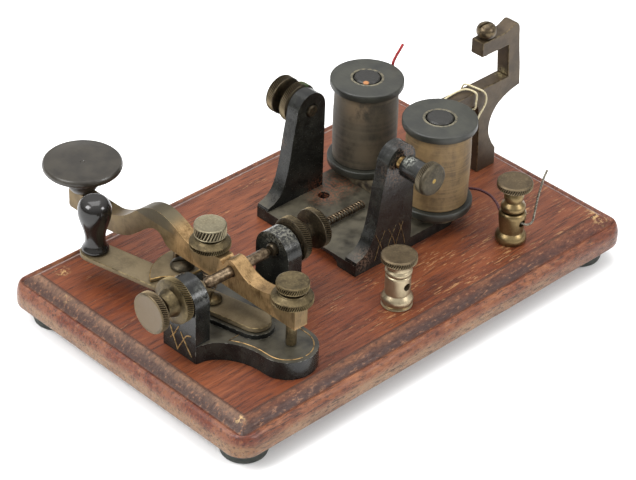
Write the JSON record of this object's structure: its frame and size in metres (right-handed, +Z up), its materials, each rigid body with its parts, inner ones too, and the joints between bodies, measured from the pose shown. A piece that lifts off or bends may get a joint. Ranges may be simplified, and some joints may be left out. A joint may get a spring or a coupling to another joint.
{
  "type": "telegraph learner's key and sounder set",
  "caption": "Camelback telegraph key with a circuit closer, beside an electromagnet sounder frame and two binding posts, on a moulded wooden board with rubber feet.",
  "frame": {"origin": "middle of the whole outline, on the table under the rubber feet", "axes": "+X along the board from the key to the sounder, +Y towards the key's knob, +Z up"},
  "size_m": [0.213, 0.1564, 0.0898],
  "materials": {
    "mahogany": "worn satin varnish",
    "foot_rubber": "matte",
    "japanned_iron": "worn black japan with gold lining",
    "coil_iron": "black",
    "lever_brass": "aged, with file marks",
    "fitting_brass": "tarnished",
    "post_brass": "tarnished dark",
    "post_nickel": "worn nickel plate",
    "bronze": "brown",
    "steel": "dull",
    "hard_rubber": "dulled black",
    "dark_winding": "waxed wrap",
    "tan_winding": "waxed cloth wrap",
    "maroon_wire": "cloth covered",
    "red_wire": "matte",
    "bare_wire": "twisted bare strands",
    "tag_string": "soft"
  },
  "bodies": {
    "base": {"base_board": "mahogany", "rubber_foot_1": "foot_rubber", "rubber_foot_2": "foot_rubber", "rubber_foot_3": "foot_rubber", "rubber_foot_4": "foot_rubber", "key_frame": "japanned_iron", "sounder_frame": "japanned_iron", "magnet_core_near": "coil_iron", "magnet_core_far": "coil_iron", "yoke_bar": "coil_iron", "closer_pivot_screw": "fitting_brass", "anvil_plate": "fitting_brass", "anvil_screw": "fitting_brass", "post_body_brass": "post_brass", "post_nut_brass": "post_brass", "post_nut_nickel": "post_brass", "post_body_nickel": "post_nickel", "gooseneck": "bronze", "key_spring": "steel", "retractile_spring": "steel", "foot_screw_1": "steel", "foot_screw_2": "steel", "foot_screw_3": "steel", "foot_screw_4": "steel", "key_fixing_screw_rear": "steel", "key_fixing_screw_front": "steel", "sounder_fixing_screw_front": "steel", "sounder_fixing_screw_rear": "steel", "gooseneck_fixing_screw": "steel", "anvil_insulator": "hard_rubber", "coil_flange_near_bottom": "hard_rubber", "coil_flange_near_top": "hard_rubber", "coil_flange_far_bottom": "hard_rubber", "coil_flange_far_top": "hard_rubber", "coil_winding_far": "dark_winding", "coil_winding_near": "tan_winding", "coil_lead": "maroon_wire", "coil_lead_stub": "red_wire", "post_wire_end": "bare_wire", "tag_string": "tag_string"},
    "key": {"key_lever": "lever_brass", "key_arbor": "steel", "key_knob": "hard_rubber", "key_upper_contact": "steel"},
    "closer": {"closer_arm": "fitting_brass", "closer_handle": "hard_rubber"},
    "key_spring_screw": {"key_spring_screw": "fitting_brass"},
    "key_spring_nut": {"key_spring_nut": "fitting_brass"},
    "key_gap_screw": {"key_gap_screw": "fitting_brass"},
    "key_gap_nut": {"key_gap_nut": "fitting_brass"},
    "key_trunnion_screw_near": {"key_trunnion_screw_near": "fitting_brass"},
    "key_trunnion_nut_near": {"key_trunnion_nut_near": "fitting_brass"},
    "key_trunnion_screw_far": {"key_trunnion_screw_far": "fitting_brass"},
    "key_trunnion_nut_far": {"key_trunnion_nut_far": "fitting_brass"},
    "sounder_screw_near": {"sounder_screw_near": "fitting_brass"},
    "sounder_screw_far": {"sounder_screw_far": "fitting_brass"},
    "sounder_nut_far": {"sounder_nut_far": "fitting_brass"},
    "gooseneck_stop_screw": {"gooseneck_stop_screw": "bronze"},
    "post_thumb_nickel": {"post_thumb_nickel": "post_nickel"},
    "post_thumb_brass": {"post_thumb_brass": "post_brass"}
  },
  "joints": [
    {"name": "key_rock", "type": "hinge", "parent": "base", "child": "key", "pos_m": [-0.063, -0.0272, 0.0476], "axis": [-1, 0, 0], "range_deg": [0, 1.1], "stiffness_Nm_per_rad": 1, "springref_deg": -5.73, "deforming": ["key_spring"]},
    {"name": "closer_swing", "type": "hinge", "parent": "base", "child": "closer", "pos_m": [-0.0705, -0.0217, 0.0323], "axis": [0, 0, 1], "range_deg": [0, 20]},
    {"name": "key_spring_screw_turn", "type": "hinge", "parent": "key", "child": "key_spring_screw", "pos_m": [-0.063, -0.0124, 0.0511], "axis": [0, 0, 1], "range_deg": [-180, 180]},
    {"name": "key_spring_nut_turn", "type": "hinge", "parent": "key", "child": "key_spring_nut", "pos_m": [-0.063, -0.0124, 0.0511], "axis": [0, 0, 1], "continuous": true},
    {"name": "key_gap_screw_turn", "type": "hinge", "parent": "key", "child": "key_gap_screw", "pos_m": [-0.063, -0.0572, 0.0511], "axis": [0, 0, 1], "range_deg": [-180, 180]},
    {"name": "key_gap_nut_turn", "type": "hinge", "parent": "key", "child": "key_gap_nut", "pos_m": [-0.063, -0.0572, 0.0511], "axis": [0, 0, 1], "continuous": true},
    {"name": "key_trunnion_screw_near_turn", "type": "hinge", "parent": "base", "child": "key_trunnion_screw_near", "pos_m": [-0.093, -0.0272, 0.0476], "axis": [-1, 0, 0], "range_deg": [-180, 180]},
    {"name": "key_trunnion_nut_near_turn", "type": "hinge", "parent": "base", "child": "key_trunnion_nut_near", "pos_m": [-0.093, -0.0272, 0.0476], "axis": [-1, 0, 0], "continuous": true},
    {"name": "key_trunnion_screw_far_turn", "type": "hinge", "parent": "base", "child": "key_trunnion_screw_far", "pos_m": [-0.033, -0.0272, 0.0476], "axis": [1, 0, 0], "range_deg": [-180, 180]},
    {"name": "key_trunnion_nut_far_turn", "type": "hinge", "parent": "base", "child": "key_trunnion_nut_far", "pos_m": [-0.033, -0.0272, 0.0476], "axis": [1, 0, 0], "continuous": true},
    {"name": "sounder_screw_near_turn", "type": "hinge", "parent": "base", "child": "sounder_screw_near", "pos_m": [0.0153, -0.0407, 0.0646], "axis": [0, -1, 0], "range_deg": [-180, 180]},
    {"name": "sounder_screw_far_turn", "type": "hinge", "parent": "base", "child": "sounder_screw_far", "pos_m": [0.0153, 0.0243, 0.0646], "axis": [0, 1, 0], "range_deg": [-180, 180]},
    {"name": "sounder_nut_far_turn", "type": "hinge", "parent": "base", "child": "sounder_nut_far", "pos_m": [0.0153, 0.0243, 0.0646], "axis": [0, 1, 0], "continuous": true},
    {"name": "gooseneck_stop_screw_turn", "type": "hinge", "parent": "base", "child": "gooseneck_stop_screw", "pos_m": [0.0855, -0.0125, 0.0811], "axis": [0, 0, 1], "range_deg": [-180, 180]},
    {"name": "post_thumb_nickel_turn", "type": "hinge", "parent": "base", "child": "post_thumb_nickel", "pos_m": [-0.0074, -0.0578, 0.0371], "axis": [0, 0, 1], "range_deg": [0, 360]},
    {"name": "post_thumb_brass_turn", "type": "hinge", "parent": "base", "child": "post_thumb_brass", "pos_m": [0.0572, -0.0578, 0.0371], "axis": [0, 0, 1], "range_deg": [0, 360]}
  ]
}
